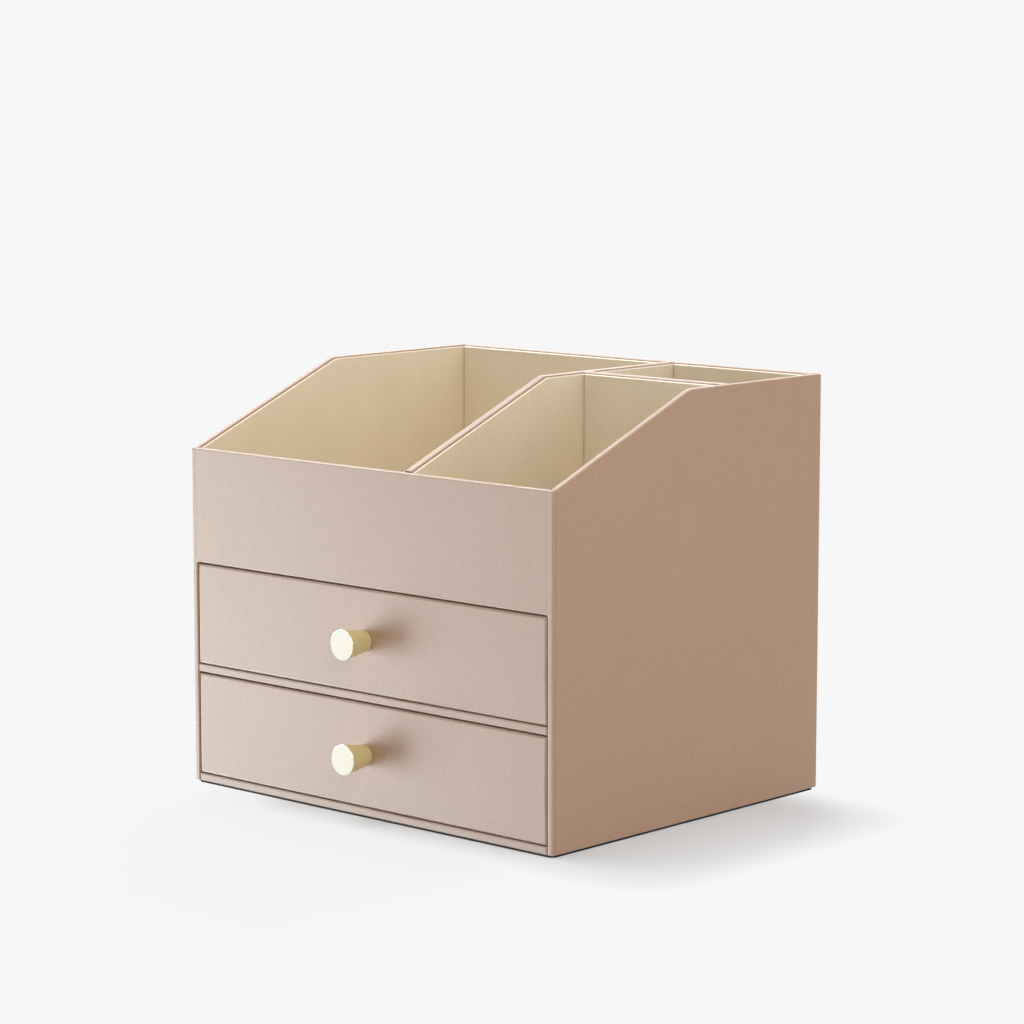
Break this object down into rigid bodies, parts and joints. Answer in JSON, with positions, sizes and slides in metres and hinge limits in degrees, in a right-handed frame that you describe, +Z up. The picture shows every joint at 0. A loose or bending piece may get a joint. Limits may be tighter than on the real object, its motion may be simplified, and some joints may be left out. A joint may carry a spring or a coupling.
{
  "type": "makeup organizer with drawers",
  "caption": "Leather-wrapped tabletop makeup organizer: open bays with a sloped rim and dividers above full-width drawers with tapered knobs.",
  "frame": {"origin": "on the table, under the middle of the case's footprint, on the underside of the non-slip sheet", "axes": "+X to the right seen from the front, +Y from the front to the back, +Z up; the drawers face -Y"},
  "size_m": [0.3, 0.264, 0.2584],
  "materials": {
    "board": "raw fibreboard",
    "leather": "fine-grained dusty nude leatherette, satin",
    "lining": "champagne satin lining",
    "tray": "fibreboard wrapped in champagne lining paper",
    "brass": "satin brass",
    "screw": "zinc plated",
    "non_slip": "matt black"
  },
  "bodies": {
    "case": {"left_side_board": "board", "right_side_board": "board", "back_board": "board", "front_board": "board", "deck_board": "board", "shelf_board": "board", "base_board": "board", "divider_board": "board", "cross_divider_board": "board", "left_side_cover": "leather", "right_side_cover": "leather", "back_cover": "leather", "front_cover": "leather", "shelf_edge_cover": "leather", "base_edge_cover": "leather", "divider_cover": "leather", "cross_divider_cover": "leather", "left_bay_floor_lining": "lining", "left_bay_left_lining": "lining", "left_bay_right_lining": "lining", "left_bay_front_lining": "lining", "left_bay_back_lining": "lining", "right_bay_floor_lining": "lining", "right_bay_left_lining": "lining", "right_bay_right_lining": "lining", "right_bay_front_lining": "lining", "right_bay_back_lining": "lining", "rear_bay_floor_lining": "lining", "rear_bay_left_lining": "lining", "rear_bay_right_lining": "lining", "rear_bay_front_lining": "lining", "rear_bay_back_lining": "lining", "non_slip_sheet": "non_slip"},
    "lower_drawer": {"lower_drawer_front_board": "board", "lower_drawer_front_cover": "leather", "lower_drawer_front_lining": "lining", "lower_drawer_left_wall": "tray", "lower_drawer_right_wall": "tray", "lower_drawer_back_wall": "tray", "lower_drawer_bottom": "board", "lower_drawer_floor_lining": "lining", "lower_knob": "brass", "lower_knob_screw": "screw"},
    "upper_drawer": {"upper_drawer_front_board": "board", "upper_drawer_front_cover": "leather", "upper_drawer_front_lining": "lining", "upper_drawer_left_wall": "tray", "upper_drawer_right_wall": "tray", "upper_drawer_back_wall": "tray", "upper_drawer_bottom": "board", "upper_drawer_floor_lining": "lining", "upper_knob": "brass", "upper_knob_screw": "screw"}
  },
  "joints": [
    {"name": "lower_drawer_slide", "type": "slide", "parent": "case", "child": "lower_drawer", "axis": [0, -1, 0], "range_m": [0, 0.185]},
    {"name": "upper_drawer_slide", "type": "slide", "parent": "case", "child": "upper_drawer", "axis": [0, -1, 0], "range_m": [0, 0.185]}
  ]
}
